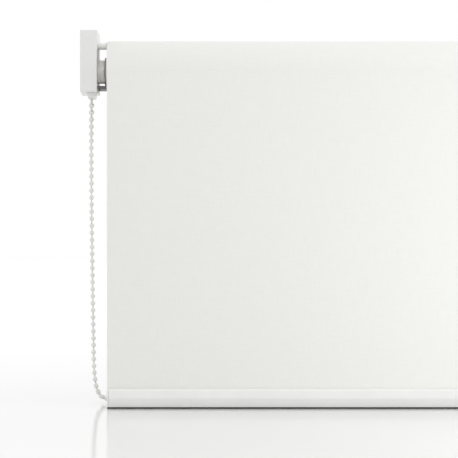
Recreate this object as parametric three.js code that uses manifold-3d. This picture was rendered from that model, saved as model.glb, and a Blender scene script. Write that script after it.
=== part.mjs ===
// A chain-operated roller blind, partly wound up, in millimetres.
// +X runs along the roller from the control end to the idle end, +Y points to the wall, +Z is up.
// The origin is on the wall face of the control-end bracket, midway between its two screw holes.
import * as THREE from "three";
import { mergeVertices } from "three/addons/utils/BufferGeometryUtils.js";
import Module from "manifold-3d";

const wasm = await Module();
wasm.setup();

// ---- driving dimensions ----
const GAP = 0.3; // clearance between pieces that touch

const BLIND_WIDTH = 600; // over the fronts of both bracket covers
const COVER_WIDTH = 14;
const COVER_DEPTH = 48;
const COVER_HEIGHT = 52;
const COVER_WALL = 1.3;
const COVER_CORNER = 1.6;
const COVER_FLARE = 1.6; // how much wider the closed side stands at the wall
const IDLE_X = BLIND_WIDTH - COVER_WIDTH; // middle of the idle-end bracket

const AXIS_Y = -28; // roller axis, from the wall
const AXIS_Z = -8;
const FLOOR_Z = -292; // what the hem bar stands on

const PLATE_THICK = 1.8; // back plate of a bracket
const WEB_THICK = 1.6;
const WEB_INSIDE_X = COVER_WIDTH / 2 - WEB_THICK;
const WEB_OUTSIDE_X = COVER_WIDTH / 2;
const SHELF_FRONT_Y = -37;
const SHELF_END_X = 14.9;
const SHELF_THICK = 1.6; // at its front edge
const SHELF_ROOT_THICK = 2.5; // at the wall
const SHELF_NOSE_RADIUS = 3; // rolled front edge of the upper shelf
const UPPER_SHELF_TOP_Z = AXIS_Z + 24.5;
const LOWER_SHELF_TOP_Z = AXIS_Z - 12.4;
const SLIDE_THICK = 1.9;
const WALL_HOLE_RADIUS = 2.2;
const WALL_HOLE_Z = 15; // above and below the origin

const HUB_FLATS = 19; // across the flats of the six-sided hub
const HUB_END_X = 12.8;
const SPIGOT_RADIUS = 7;
const SLEEVE_RADIUS = 5;
const COLLAR_RADIUS = 12.1;
const COLLAR_START_X = 13.1;
const COLLAR_END_X = 14.7;

const TUBE_RADIUS = 12.5;
const TUBE_WALL = 1.2;
const TUBE_START_X = 15;
const PLUG_RADIUS = TUBE_RADIUS - TUBE_WALL - GAP;

const ROLL_RADIUS = 26.3;
const ROLL_START_X = 15.4;
const CLOTH_THICK = 0.75;
const PANEL_START_X = 15.9;
const PANEL_TOP_Z = AXIS_Z - 9; // where the flat stretch of the hanging cloth starts

const AXLE_RADIUS = 2.5;
const AXLE_BORE = 2.8;

const BEAD_DIAMETER = 4; // chain beads
const BEAD_PITCH = 6;
const WHEEL_BEADS = 8; // beads round the wheel
const WHEEL_PITCH_RADIUS = (WHEEL_BEADS * BEAD_PITCH) / (2 * Math.PI);
const WHEEL_RADIUS = 10.2;
const CHAIN_X = 1.5; // plane of the chain wheel
const GUIDE_DROP = 4.9; // how far the chain guide stands below the cover

const HEM_HEIGHT = 16.6; // with the seal strip under it
const HEM_DEPTH = 13.6;
const HEM_FOOT = 3; // depth of its underside
const HEM_SHOULDER = 11.5; // height above the floor at which its sides start to curve in
const HEM_BEND = 8;
const HEM_EDGE_RADIUS = 1.2;
const SEAL_HEIGHT = 1.25;
const SEAL_DEPTH = 2.6;
const HEM_Y = AXIS_Y - ROLL_RADIUS + CLOTH_THICK / 2;
const HEM_CAP_THICK = 1.6;

const PANEL_END_X = IDLE_X - PANEL_START_X;

// ---- finishes ----
const FINISH = {
  coverPlastic: { color: 0xe9e9e6, roughness: 0.38, metalness: 0 },
  bracketPaint: { color: 0xe4e4e1, roughness: 0.42, metalness: 0.1 },
  paleGreyPlastic: { color: 0xcac7c2, roughness: 0.5, metalness: 0 },
  collarGrey: { color: 0x8c8c82, roughness: 0.5, metalness: 0 },
  slideGrey: { color: 0x5e5e5c, roughness: 0.55, metalness: 0 },
  chainPlastic: { color: 0xdededa, roughness: 0.35, metalness: 0 },
  cloth: { color: 0xe8e8e3, roughness: 0.85, metalness: 0 },
  hemPaint: { color: 0xe9e9e6, roughness: 0.4, metalness: 0.1 },
  aluminium: { color: 0xb9bab8, roughness: 0.35, metalness: 0.9 },
  steel: { color: 0x9a9c9e, roughness: 0.3, metalness: 0.95 },
  sealRubber: { color: 0x2c2c2c, roughness: 0.8, metalness: 0 },
};

// ---- small tools ----
function solidOf(geometry) {
  const bare = geometry.clone();
  bare.deleteAttribute("normal");
  bare.deleteAttribute("uv");
  const merged = mergeVertices(bare, 1e-4);
  return new wasm.Manifold(
    new wasm.Mesh({
      numProp: 3,
      vertProperties: new Float32Array(merged.attributes.position.array),
      triVerts: new Uint32Array(merged.index.array),
    }),
  );
}

function geometryOf(solid) {
  const mesh = solid.getMesh();
  const geometry = new THREE.BufferGeometry();
  geometry.setAttribute("position", new THREE.BufferAttribute(mesh.vertProperties, 3));
  geometry.setIndex(new THREE.BufferAttribute(mesh.triVerts, 1));
  geometry.computeVertexNormals();
  return geometry;
}

function join(first, ...others) {
  return geometryOf(others.reduce((whole, next) => whole.add(solidOf(next)), solidOf(first)));
}

function cut(body, ...tools) {
  return geometryOf(tools.reduce((left, tool) => left.subtract(solidOf(tool)), solidOf(body)));
}

function box([x0, y0, z0], [x1, y1, z1]) {
  const geometry = new THREE.BoxGeometry(x1 - x0, y1 - y0, z1 - z0);
  return geometry.translate((x0 + x1) / 2, (y0 + y1) / 2, (z0 + z1) / 2);
}

// A round bar along X, on the roller axis unless told otherwise.
function rod(radius, x0, x1, y = AXIS_Y, z = AXIS_Z, sides = 24) {
  const geometry = new THREE.CylinderGeometry(radius, radius, x1 - x0, sides);
  return geometry.rotateZ(-Math.PI / 2).translate((x0 + x1) / 2, y, z);
}

// A vertical round bar.
function post(radius, z0, z1, x, y, sides = 16) {
  const geometry = new THREE.CylinderGeometry(radius, radius, z1 - z0, sides);
  return geometry.rotateX(Math.PI / 2).translate(x, y, (z0 + z1) / 2);
}

// A turned piece: [x, radius] corners of half its section, in order round the section.
function turned(corners, y = AXIS_Y, z = AXIS_Z, sides = 32) {
  const ring = corners.map(([x, radius]) => new THREE.Vector2(radius, x));
  const order = THREE.ShapeUtils.area(ring) > 0 ? ring : ring.reverse();
  order.push(order[0].clone());
  const geometry = new THREE.LatheGeometry(order, sides);
  return geometry.rotateZ(-Math.PI / 2).translate(0, y, z);
}

// A shape drawn in (Y, Z), extruded along X.
const ALONG_X = new THREE.Matrix4().makeBasis(
  new THREE.Vector3(0, 1, 0),
  new THREE.Vector3(0, 0, 1),
  new THREE.Vector3(1, 0, 0),
);

function extrudeX(shape, x0, x1, curveSegments = 6) {
  const options = { depth: x1 - x0, bevelEnabled: false, curveSegments };
  const geometry = new THREE.ExtrudeGeometry(shape, options);
  return geometry.applyMatrix4(ALONG_X).translate(x0, 0, 0);
}

function polygon(radius, sides) {
  const shape = new THREE.Shape();
  for (let i = 0; i < sides; i++) {
    const angle = (2 * Math.PI * i) / sides;
    const corner = [radius * Math.cos(angle), radius * Math.sin(angle)];
    if (i === 0) shape.moveTo(...corner);
    else shape.lineTo(...corner);
  }
  shape.closePath();
  return shape;
}

function tubeAlong(curve, radius, steps, sides = 8) {
  const options = { steps, extrudePath: curve, bevelEnabled: false };
  return new THREE.ExtrudeGeometry(polygon(radius, sides), options);
}

class HelixX extends THREE.Curve {
  constructor(radius, x0, x1, turns) {
    super();
    Object.assign(this, { radius, x0, x1, turns });
  }

  getPoint(t, target = new THREE.Vector3()) {
    const angle = 2 * Math.PI * this.turns * t;
    return target.set(
      this.x0 + (this.x1 - this.x0) * t,
      AXIS_Y + this.radius * Math.cos(angle),
      AXIS_Z + this.radius * Math.sin(angle),
    );
  }
}

function coil(radius, wireRadius, x0, x1, turns) {
  return tubeAlong(new HelixX(radius, x0, x1, turns), wireRadius, turns * 12, 6);
}

function piece(name, geometry, finish) {
  const mesh = new THREE.Mesh(geometry, new THREE.MeshStandardMaterial(FINISH[finish]));
  mesh.name = name;
  return mesh;
}

// ---- brackets and covers, drawn for the control end; the idle end is their mirror image ----
const SLIDE_SLOT = { back: -8, front: -38 }; // as long as the slide and its travel

// The round front edge that stiffens the upper shelf.
function shelfNose() {
  const y = SHELF_FRONT_Y + SHELF_NOSE_RADIUS;
  return rod(SHELF_NOSE_RADIUS, WEB_INSIDE_X, SHELF_END_X, y, UPPER_SHELF_TOP_Z - SHELF_NOSE_RADIUS, 20);
}

// A shelf with one flat side at height z; it thickens towards the wall, downwards if way is -1.
function shelf(z, way, front = SHELF_FRONT_Y) {
  const outline = new THREE.Shape();
  outline.moveTo(0, z);
  outline.lineTo(front, z);
  outline.lineTo(front, z + way * SHELF_THICK);
  outline.lineTo(0, z + way * SHELF_ROOT_THICK);
  outline.closePath();
  return extrudeX(outline, WEB_INSIDE_X, SHELF_END_X);
}

function bracketFrame(isControl) {
  const z = COVER_HEIGHT / 2 - COVER_WALL - GAP;
  const front = -COVER_DEPTH + COVER_WALL + GAP;
  const inside = COVER_WALL + GAP - COVER_WIDTH / 2;
  const shelves = [shelf(UPPER_SHELF_TOP_Z, -1, SHELF_FRONT_Y + SHELF_NOSE_RADIUS), shelfNose()];
  if (!isControl) shelves.push(shelf(LOWER_SHELF_TOP_Z - SHELF_THICK, 1));
  const body = join(
    box([inside, -PLATE_THICK, -z], [WEB_OUTSIDE_X, 0, z]),
    box([WEB_INSIDE_X, front, -z], [WEB_OUTSIDE_X, 0, z]),
    ...shelves,
  );
  const holes = [rod(SPIGOT_RADIUS + GAP, WEB_INSIDE_X - 1, WEB_OUTSIDE_X + 1)];
  for (const side of [-1, 1]) {
    const hole = new THREE.CylinderGeometry(WALL_HOLE_RADIUS, WALL_HOLE_RADIUS, 3 * PLATE_THICK, 16);
    holes.push(hole.translate(0, 0, side * WALL_HOLE_Z));
  }
  if (isControl) {
    holes.push(...earRods(SCREW.radius + GAP, WEB_INSIDE_X - 1, WEB_OUTSIDE_X + 1, 12));
    holes.push(
      box(
        [WEB_INSIDE_X - 1, SLIDE_SLOT.front, LOWER_SHELF_TOP_Z - SLIDE_THICK - GAP],
        [WEB_OUTSIDE_X + 1, SLIDE_SLOT.back, LOWER_SHELF_TOP_Z + GAP],
      ),
    );
  }
  return cut(body, ...holes);
}

function coverOutline() {
  const low = -COVER_HEIGHT / 2;
  const high = COVER_HEIGHT / 2;
  const front = -COVER_DEPTH;
  const r = COVER_CORNER;
  const shape = new THREE.Shape();
  shape.moveTo(0, low);
  shape.lineTo(0, high);
  shape.lineTo(front + r, high);
  shape.absarc(front + r, high - r, r, Math.PI / 2, Math.PI, false);
  shape.lineTo(front, low + r);
  shape.absarc(front + r, low + r, r, Math.PI, 1.5 * Math.PI, false);
  shape.closePath();
  return shape;
}

// The cover is a box open towards the roller and towards the wall.
function cover(isControl) {
  const half = COVER_WIDTH / 2;
  const z = COVER_HEIGHT / 2 - COVER_WALL;
  const inside = box([COVER_WALL - half, COVER_WALL - COVER_DEPTH, -z], [half + 1, 1, z]);
  const shell = flared(cut(extrudeX(coverOutline(), -half, half), inside));
  if (!isControl) return shell;
  const { x0, x1, y0, y1 } = guideNeck();
  return cut(shell, box([x0 - GAP, y0 - GAP, -COVER_HEIGHT], [x1 + GAP, y1 + GAP, 0]));
}

// Leans the closed side outwards, most at the wall, so that the cover leaves its mould.
function flared(geometry) {
  const places = geometry.attributes.position;
  for (let i = 0; i < places.count; i++) {
    const x = places.getX(i);
    if (x < 0) places.setX(i, x - COVER_FLARE * (1 + places.getY(i) / COVER_DEPTH));
  }
  return geometry;
}

// ---- control mechanism ----
const HOUSING_PLATE = { x0: -4.6, x1: -3.4 };
const HOUSING_RIM = { inner: 10.9, outer: 12 };
const HOUSING_SLOT = { low: AXIS_Z - 14, high: AXIS_Z - 2.5 }; // where the chain leaves the wheel
const EAR = { apart: 24, rise: 6.5, radius: 2.9, startX: -3.1 };
const SCREW = { headX: -5.1, shoulderX: -3.4, tipX: 6.6, headRadius: 2.2, radius: 1.1 };

// Centres, in (Y, Z), of the two screws that hold the clutch housing to the bracket.
function earPlaces() {
  return [-0.5, 0.5].map((side) => [AXIS_Y + side * EAR.apart, AXIS_Z + EAR.rise]);
}

function earRods(radius, x0, x1, sides) {
  return earPlaces().map(([y, z]) => rod(radius, x0, x1, y, z, sides));
}

function clutchHousing() {
  const { x0, x1 } = HOUSING_PLATE;
  const { inner, outer } = HOUSING_RIM;
  const end = WEB_INSIDE_X - GAP;
  const cup = turned([[x0, AXLE_BORE], [x0, outer], [end, outer], [end, inner], [x1, inner], [x1, AXLE_BORE]]);
  const ears = earRods(EAR.radius, EAR.startX, end, 16);
  const slotHalf = outer - 0.5;
  const chainSlot = box(
    [x1, AXIS_Y - slotHalf, HOUSING_SLOT.low],
    [end + 1, AXIS_Y + slotHalf, HOUSING_SLOT.high],
  );
  const wheelRoom = rod(inner, x1, end + 1, AXIS_Y, AXIS_Z, 32);
  const bores = earRods(SCREW.radius + GAP, x0 - 1, end + 1, 12);
  const headSeats = earRods(SCREW.headRadius + GAP, x0 - 1, EAR.startX, 16);
  return cut(join(cup, ...ears), chainSlot, wheelRoom, ...bores, ...headSeats);
}

function housingScrew([y, z]) {
  const { headX, shoulderX, tipX, headRadius, radius } = SCREW;
  return turned([
    [headX, 0], [headX, headRadius], [shoulderX, headRadius], [shoulderX, radius], [tipX, radius], [tipX, 0],
  ], y, z, 16);
}

const AXLE_HEAD = { startX: -5.5, endX: -4.9, radius: 4 };
const CLIP_GROOVE = { startX: 40.8, endX: 41.9, radius: 2 };
const AXLE_TIP = { startX: 44.4, endX: 45, radius: 1.9 };

// A headed pin with a groove for its clip and a chamfered tip.
function axle() {
  return turned([
    [AXLE_HEAD.startX, 0], [AXLE_HEAD.startX, AXLE_HEAD.radius],
    [AXLE_HEAD.endX, AXLE_HEAD.radius], [AXLE_HEAD.endX, AXLE_RADIUS],
    [CLIP_GROOVE.startX, AXLE_RADIUS], [CLIP_GROOVE.startX, CLIP_GROOVE.radius],
    [CLIP_GROOVE.endX, CLIP_GROOVE.radius], [CLIP_GROOVE.endX, AXLE_RADIUS],
    [AXLE_TIP.startX, AXLE_RADIUS], [AXLE_TIP.endX, AXLE_TIP.radius], [AXLE_TIP.endX, 0],
  ], AXIS_Y, AXIS_Z, 20);
}

// The wheel's sleeve runs through the hub and ends in a cam disc with a tongue for the springs.
const CAM = { x0: 14.9, x1: 16.3, radius: 8.4 };
const TONGUE = { half: 2.5, low: AXIS_Z + 7.3, high: AXIS_Z + 8, endX: 34 };
const WHEEL = { grooveHalf: 2.6, rim: 0.7, grooveRadius: 5.1, notchRadius: 1.3 };

function chainWheel() {
  const { grooveHalf, rim, grooveRadius, notchRadius } = WHEEL;
  const left = CHAIN_X - grooveHalf;
  const right = CHAIN_X + grooveHalf;
  const body = turned([
    [left - rim, AXLE_BORE], [left - rim, WHEEL_RADIUS], [left, WHEEL_RADIUS], [left, grooveRadius],
    [right, grooveRadius], [right, WHEEL_RADIUS], [right + rim, WHEEL_RADIUS], [right + rim, SLEEVE_RADIUS],
    [CAM.x0, SLEEVE_RADIUS], [CAM.x0, CAM.radius], [CAM.x1, CAM.radius], [CAM.x1, AXLE_BORE],
  ]);
  const notches = Array.from({ length: WHEEL_BEADS }, (_, i) => {
    const angle = (2 * Math.PI * (i + 0.5)) / WHEEL_BEADS;
    const y = AXIS_Y + WHEEL_RADIUS * Math.cos(angle);
    const z = AXIS_Z + WHEEL_RADIUS * Math.sin(angle);
    return rod(notchRadius, left - 2 * rim, right + 2 * rim, y, z, 10);
  });
  const tongue = box(
    [CAM.x0 + GAP, AXIS_Y - TONGUE.half, TONGUE.low],
    [TONGUE.endX, AXIS_Y + TONGUE.half, TONGUE.high],
  );
  return cut(join(body, tongue), ...notches);
}

// A six-sided bar along X with a flat at the top and at the bottom.
function hexBar(acrossFlats, x0, x1) {
  const outline = polygon(acrossFlats / Math.sqrt(3), 6);
  return extrudeX(outline, x0, x1).translate(0, AXIS_Y, AXIS_Z);
}

// A six-sided hub against the bracket web, with a round spigot through it.
function hubWithSpigot(bore, endX) {
  const shoulder = WEB_OUTSIDE_X + GAP;
  const body = join(
    hexBar(HUB_FLATS, shoulder, endX),
    rod(SPIGOT_RADIUS, WEB_INSIDE_X - GAP, shoulder + 1, AXIS_Y, AXIS_Z, 32),
  );
  return cut(body, rod(bore, WEB_INSIDE_X - 1, endX + 1, AXIS_Y, AXIS_Z, 32));
}

const CORE = { startX: 17, endX: 37.5, radius: 5.8 };
const SPRING_WIRE_RADIUS = 0.45;
const SPRING_RADIUS = CORE.radius + SPRING_WIRE_RADIUS + GAP; // to the middle of its wire
const SPRING_LENGTH = 7;
const SPRING_TURNS = 5;
const INNER_SPRING_X = 18;
const OUTER_SPRING_X = 27;

function wrapSpring(startX) {
  return coil(SPRING_RADIUS, SPRING_WIRE_RADIUS, startX, startX + SPRING_LENGTH, SPRING_TURNS);
}

function clutchCore() {
  const { startX, endX, radius } = CORE;
  const corners = [[startX, AXLE_BORE], [startX, radius], [endX, radius], [endX, AXLE_BORE]];
  return turned(corners, AXIS_Y, AXIS_Z, 24);
}

const DRIVE_PLUG = { bore: 8.8, floorX: 38, endX: 40.4 };
const KEY = { startX: 20, endX: 34, half: 2, low: AXIS_Z - 9.6, high: AXIS_Z - 7.3 };

// A cup that is open towards the chain wheel, with a key that the springs push round.
function drivePlug() {
  const { bore, floorX, endX } = DRIVE_PLUG;
  const body = turned([
    [COLLAR_START_X, bore], [COLLAR_START_X, COLLAR_RADIUS], [COLLAR_END_X, COLLAR_RADIUS],
    [COLLAR_END_X, PLUG_RADIUS], [endX, PLUG_RADIUS], [endX, AXLE_BORE], [floorX, AXLE_BORE], [floorX, bore],
  ]);
  const key = box([KEY.startX, AXIS_Y - KEY.half, KEY.low], [KEY.endX, AXIS_Y + KEY.half, KEY.high]);
  return join(body, key);
}

const CLIP = { startX: 41, endX: 41.7, bore: 2.3, radius: 4.6, mouthHalf: 1.2 };

// A ring that is open at the bottom.
function axleClip() {
  const { startX, endX, bore, radius, mouthHalf } = CLIP;
  const corners = [[startX, bore], [startX, radius], [endX, radius], [endX, bore]];
  const mouth = box(
    [startX - 1, AXIS_Y - mouthHalf, AXIS_Z - 2 * radius],
    [endX + 1, AXIS_Y + mouthHalf, AXIS_Z],
  );
  return cut(turned(corners, AXIS_Y, AXIS_Z, 20), mouth);
}

const SLIDE = { rearY: -2, neckLength: 22, headThick: 1.1, headRise: 0.7 };

// The slide runs in a slot of the bracket web, below the hub; its neck ends in a head inside the web.
function lockSlide() {
  const { rearY, neckLength, headThick, headRise } = SLIDE;
  const low = LOWER_SHELF_TOP_Z - SLIDE_THICK;
  const high = LOWER_SHELF_TOP_Z;
  const outside = WEB_OUTSIDE_X + GAP;
  const inside = WEB_INSIDE_X - GAP;
  const back = SLIDE_SLOT.back - GAP;
  const front = back - neckLength;
  return join(
    box([outside, SHELF_FRONT_Y, low], [SHELF_END_X, rearY, high]),
    box([inside - headThick / 2, front, low], [outside + 1, back, high]),
    box([inside - headThick, front, low - headRise], [inside, back, high + headRise]),
  );
}

// ---- chain ----
const GUIDE_SIDES = { closed: 3.5, open: 4.3, end: 3.55 }; // from the middle of a strand to the outside

function guideNeck() {
  const side = GUIDE_SIDES.end;
  return {
    x0: CHAIN_X - GUIDE_SIDES.closed,
    x1: CHAIN_X + GUIDE_SIDES.open,
    y0: AXIS_Y - WHEEL_PITCH_RADIUS - side,
    y1: AXIS_Y + WHEEL_PITCH_RADIUS + side,
  };
}

// A nozzle that narrows downwards, with a flange inside the cover and a hole for each strand.
function chainGuide() {
  const { x0, x1, y0, y1 } = guideNeck();
  const taper = 1;
  const top = -COVER_HEIGHT / 2 + COVER_WALL + GAP;
  const bottom = -COVER_HEIGHT / 2 - GUIDE_DROP;
  const outline = new THREE.Shape();
  outline.moveTo(x0, y0);
  outline.lineTo(x1, y0);
  outline.lineTo(x1, y1);
  outline.lineTo(x0, y1);
  outline.closePath();
  const nozzle = new THREE.ExtrudeGeometry(outline, { depth: top - GAP - bottom, bevelEnabled: false });
  const places = nozzle.attributes.position;
  for (let i = 0; i < places.count; i++) {
    if (places.getZ(i) > 0) continue;
    const x = places.getX(i);
    const y = places.getY(i);
    places.setX(i, x < CHAIN_X ? x + taper : x - taper);
    places.setY(i, y < AXIS_Y ? y + taper : y - taper);
  }
  nozzle.translate(0, 0, bottom);
  const neck = box([x0, y0, top - GAP - 0.5], [WEB_INSIDE_X - GAP, y1, top + 0.5]);
  const flange = box([x0 - 1, y0 - 1, top], [WEB_INSIDE_X - GAP, y1 + 1, top + 1]);
  const strands = [-1, 1].map((side) =>
    post(BEAD_DIAMETER / 2 + GAP, bottom - 1, top + 3, CHAIN_X, AXIS_Y + side * WHEEL_PITCH_RADIUS),
  );
  return cut(join(nozzle, neck, flange), ...strands);
}

function chainOverWheel() {
  const radius = WHEEL_PITCH_RADIUS;
  const bottom = -COVER_HEIGHT / 2 - GUIDE_DROP + 0.1;
  const path = new THREE.CurvePath();
  const corner = (y, z) => new THREE.Vector3(CHAIN_X, y, z);
  path.add(new THREE.LineCurve3(corner(AXIS_Y - radius, bottom), corner(AXIS_Y - radius, AXIS_Z)));
  const over = Array.from({ length: 13 }, (_, i) => {
    const angle = Math.PI - (Math.PI * i) / 12;
    return corner(AXIS_Y + radius * Math.cos(angle), AXIS_Z + radius * Math.sin(angle));
  });
  path.add(new THREE.CatmullRomCurve3(over));
  path.add(new THREE.LineCurve3(corner(AXIS_Y + radius, AXIS_Z), corner(AXIS_Y + radius, bottom)));
  return tubeAlong(path, BEAD_DIAMETER / 2 - 0.05, 30);
}

// The free loop: down from the front hole, along the floor behind the hem bar, round, and back up.
const CHAIN_ROUTE = [
  [1.5, -35.6, -31.2], [1.5, -35.6, -50], [1.6, -35.2, -90], [2, -33.5, -140], [2.6, -30.8, -190],
  [3.1, -27.2, -235], [3.5, -24, -262], [4.4, -20, -273.8], [6, -17, -280.6], [9.3, -13.5, -286.3],
  [14, -11.2, -288.2], [22, -11.4, -289.6], [40, -16, -289.9], [65, -24, -289.9], [100, -29.5, -289.9],
  [150, -31.4, -289.9], [190, -31, -289.9], [199.6, -27, -289.9], [203.6, -17.4, -289.9],
  [199.6, -7.8, -289.9], [190, -3.8, -289.9], [168, -3.6, -289.6], [150, -3.8, -288.4], [136, -3.8, -288.4],
  [120, -3.6, -289.4], [100, -3.4, -289.9], [60, -3.4, -289.9], [30, -3.4, -289.9], [18, -3.6, -289.6],
  [11.6, -4.4, -288.2], [7.6, -5.9, -285.5], [5.2, -7.6, -280.9], [3.7, -9.2, -274.6], [2.5, -11.2, -262.9],
  [2, -13.4, -235.6], [1.4, -16, -190], [1, -18.4, -141], [0.8, -20, -91], [1, -20.4, -55],
  [1.5, -20.4, -31.2],
];

function chainCurve() {
  const points = CHAIN_ROUTE.map((place) => new THREE.Vector3(...place));
  return new THREE.CatmullRomCurve3(points, false, "centripetal");
}

function chainLoop() {
  return tubeAlong(chainCurve(), BEAD_DIAMETER / 2, 80);
}

const CONNECTOR = { x0: 137.5, x1: 148.5, y: -3.8, z: -288.4, radius: 3.5, endRadius: 2.8, taper: 1.2 };

// A two-part snap connector, a sleeve round the chain where it lies on the floor.
function chainConnector() {
  const { x0, x1, y, z, radius, endRadius, taper } = CONNECTOR;
  const bore = BEAD_DIAMETER / 2 + GAP;
  const corners = [
    [x0, bore], [x0, endRadius], [x0 + taper, radius], [x1 - taper, radius], [x1, endRadius], [x1, bore],
  ];
  return turned(corners, y, z, 16);
}

// ---- roller and cloth ----
function rollerTube() {
  const end = IDLE_X - TUBE_START_X;
  const inner = TUBE_RADIUS - TUBE_WALL;
  return turned([[TUBE_START_X, inner], [TUBE_START_X, TUBE_RADIUS], [end, TUBE_RADIUS], [end, inner]]);
}

function fabricRoll() {
  const end = IDLE_X - ROLL_START_X;
  const inner = TUBE_RADIUS + GAP;
  return turned(
    [[ROLL_START_X, inner], [ROLL_START_X, ROLL_RADIUS], [end, ROLL_RADIUS], [end, inner]],
    AXIS_Y,
    AXIS_Z,
    48,
  );
}

function fabricPanel() {
  const front = AXIS_Y - ROLL_RADIUS;
  const bottom = FLOOR_Z + HEM_HEIGHT + GAP;
  return box([PANEL_START_X, front, bottom], [PANEL_END_X, front + CLOTH_THICK, PANEL_TOP_Z]);
}

// ---- hem bar ----
// Upright sides that curve in towards a narrow foot.
function hemOutline() {
  const half = HEM_DEPTH / 2;
  const foot = HEM_FOOT / 2;
  const low = FLOOR_Z + SEAL_HEIGHT;
  const shoulder = FLOOR_Z + HEM_SHOULDER;
  const bend = FLOOR_Z + HEM_BEND;
  const r = HEM_EDGE_RADIUS;
  const shape = new THREE.Shape();
  shape.moveTo(HEM_Y - half, shoulder);
  shape.quadraticCurveTo(HEM_Y - half, bend, HEM_Y - foot, low);
  shape.lineTo(HEM_Y + foot, low);
  shape.quadraticCurveTo(HEM_Y + half, bend, HEM_Y + half, shoulder);
  shape.lineTo(HEM_Y + half, FLOOR_Z + HEM_HEIGHT - r);
  shape.absarc(HEM_Y + half - r, FLOOR_Z + HEM_HEIGHT - r, r, 0, Math.PI / 2, false);
  shape.lineTo(HEM_Y - half + r, FLOOR_Z + HEM_HEIGHT);
  shape.absarc(HEM_Y - half + r, FLOOR_Z + HEM_HEIGHT - r, r, Math.PI / 2, Math.PI, false);
  shape.closePath();
  return shape;
}

const HEM_CHAMBER = { half: 2, low: 4, high: 9 };
const KEDER = { z: 12.2, groove: 2.1, radius: 1.7 };

function hemBar() {
  const x0 = PANEL_START_X + HEM_CAP_THICK + GAP;
  const x1 = PANEL_END_X - HEM_CAP_THICK - GAP;
  const { half, low, high } = HEM_CHAMBER;
  const slotHalf = CLOTH_THICK / 2 + 0.4;
  return cut(
    extrudeX(hemOutline(), x0, x1, 8),
    box([x0 - 1, HEM_Y - half, FLOOR_Z + low], [x1 + 1, HEM_Y + half, FLOOR_Z + high]),
    rod(KEDER.groove, x0 - 1, x1 + 1, HEM_Y, FLOOR_Z + KEDER.z, 16),
    box([x0 - 1, HEM_Y - slotHalf, FLOOR_Z + KEDER.z], [x1 + 1, HEM_Y + slotHalf, FLOOR_Z + HEM_HEIGHT + 1]),
  );
}

function hemKeder() {
  return rod(KEDER.radius, PANEL_START_X + 3, PANEL_END_X - 3, HEM_Y, FLOOR_Z + KEDER.z, 12);
}

function hemSeal() {
  return box(
    [PANEL_START_X + GAP, HEM_Y - SEAL_DEPTH / 2, FLOOR_Z],
    [PANEL_END_X - GAP, HEM_Y + SEAL_DEPTH / 2, FLOOR_Z + SEAL_HEIGHT - GAP],
  );
}

const HEM_PLUG_LENGTH = 6;

function hemWeight() {
  const { half, low, high } = HEM_CHAMBER;
  const inset = HEM_CAP_THICK + HEM_PLUG_LENGTH + 1;
  return box(
    [PANEL_START_X + inset, HEM_Y - half + GAP, FLOOR_Z + low + GAP],
    [PANEL_END_X - inset, HEM_Y + half - GAP, FLOOR_Z + high - GAP],
  );
}

// Drawn at the control end: an end plate with a plug that goes in the bar's lower chamber.
function hemCap() {
  const x0 = PANEL_START_X;
  const x1 = PANEL_START_X + HEM_CAP_THICK;
  const { half, low, high } = HEM_CHAMBER;
  const plug = box(
    [x1 - 0.5, HEM_Y - half + GAP, FLOOR_Z + low + GAP],
    [x1 + HEM_PLUG_LENGTH, HEM_Y + half - GAP, FLOOR_Z + high - GAP],
  );
  return join(extrudeX(hemOutline(), x0, x1, 8), plug);
}

// ---- idle end, drawn like the control end and mirrored ----
const IDLE_BUSH_END_X = 9.3;
const PIN = { tip: 4.6, radius: 3, collar: 4.3, collarStart: 16.3, collarEnd: 18.3 };
const PIN_CHAMBER = { start: 16, radius: 4.6, end: 36 };
const PIN_SPRING = { radius: 3.7, wire: 0.4, startX: 18.8, endX: 33.8, turns: 6 };
const STOP_THICK = 1.7;

function idlePlug() {
  const bore = PIN.radius + GAP;
  const { start, radius, end } = PIN_CHAMBER;
  return turned([
    [COLLAR_START_X, bore], [COLLAR_START_X, COLLAR_RADIUS], [COLLAR_END_X, COLLAR_RADIUS],
    [COLLAR_END_X, PLUG_RADIUS], [end, PLUG_RADIUS], [end, radius], [start, radius], [start, bore],
  ]);
}

function idlePin() {
  const { tip, radius, collar, collarStart, collarEnd } = PIN;
  return turned([
    [tip, 0], [tip, radius - 0.8], [tip + 0.8, radius], [collarStart, radius], [collarStart, collar],
    [collarEnd, collar], [collarEnd, 0],
  ], AXIS_Y, AXIS_Z, 24);
}

function idleStop() {
  return rod(PIN_CHAMBER.radius - GAP, PIN_CHAMBER.end - STOP_THICK, PIN_CHAMBER.end);
}

function pinSpring() {
  const { radius, wire, startX, endX, turns } = PIN_SPRING;
  return coil(radius, wire, startX, endX, turns);
}

// ---- assembly ----
function controlBracket() {
  const group = new THREE.Group();
  const [frontScrew, rearScrew] = earPlaces();
  group.add(
    piece("bracket_frame_control", bracketFrame(true), "bracketPaint"),
    piece("cover_control", cover(true), "coverPlastic"),
    piece("clutch_housing", clutchHousing(), "paleGreyPlastic"),
    piece("housing_screw_front", housingScrew(frontScrew), "steel"),
    piece("housing_screw_rear", housingScrew(rearScrew), "steel"),
    piece("chain_guide", chainGuide(), "coverPlastic"),
    piece("hub_sleeve", hubWithSpigot(SLEEVE_RADIUS + GAP, HUB_END_X), "paleGreyPlastic"),
    piece("lock_slide", lockSlide(), "slideGrey"),
  );
  return group;
}

function clutch() {
  const group = new THREE.Group();
  group.add(
    piece("axle", axle(), "steel"),
    piece("chain_wheel", chainWheel(), "paleGreyPlastic"),
    piece("clutch_core", clutchCore(), "steel"),
    piece("wrap_spring_inner", wrapSpring(INNER_SPRING_X), "steel"),
    piece("wrap_spring_outer", wrapSpring(OUTER_SPRING_X), "steel"),
    piece("drive_plug", drivePlug(), "collarGrey"),
    piece("axle_clip", axleClip(), "steel"),
  );
  return group;
}

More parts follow.
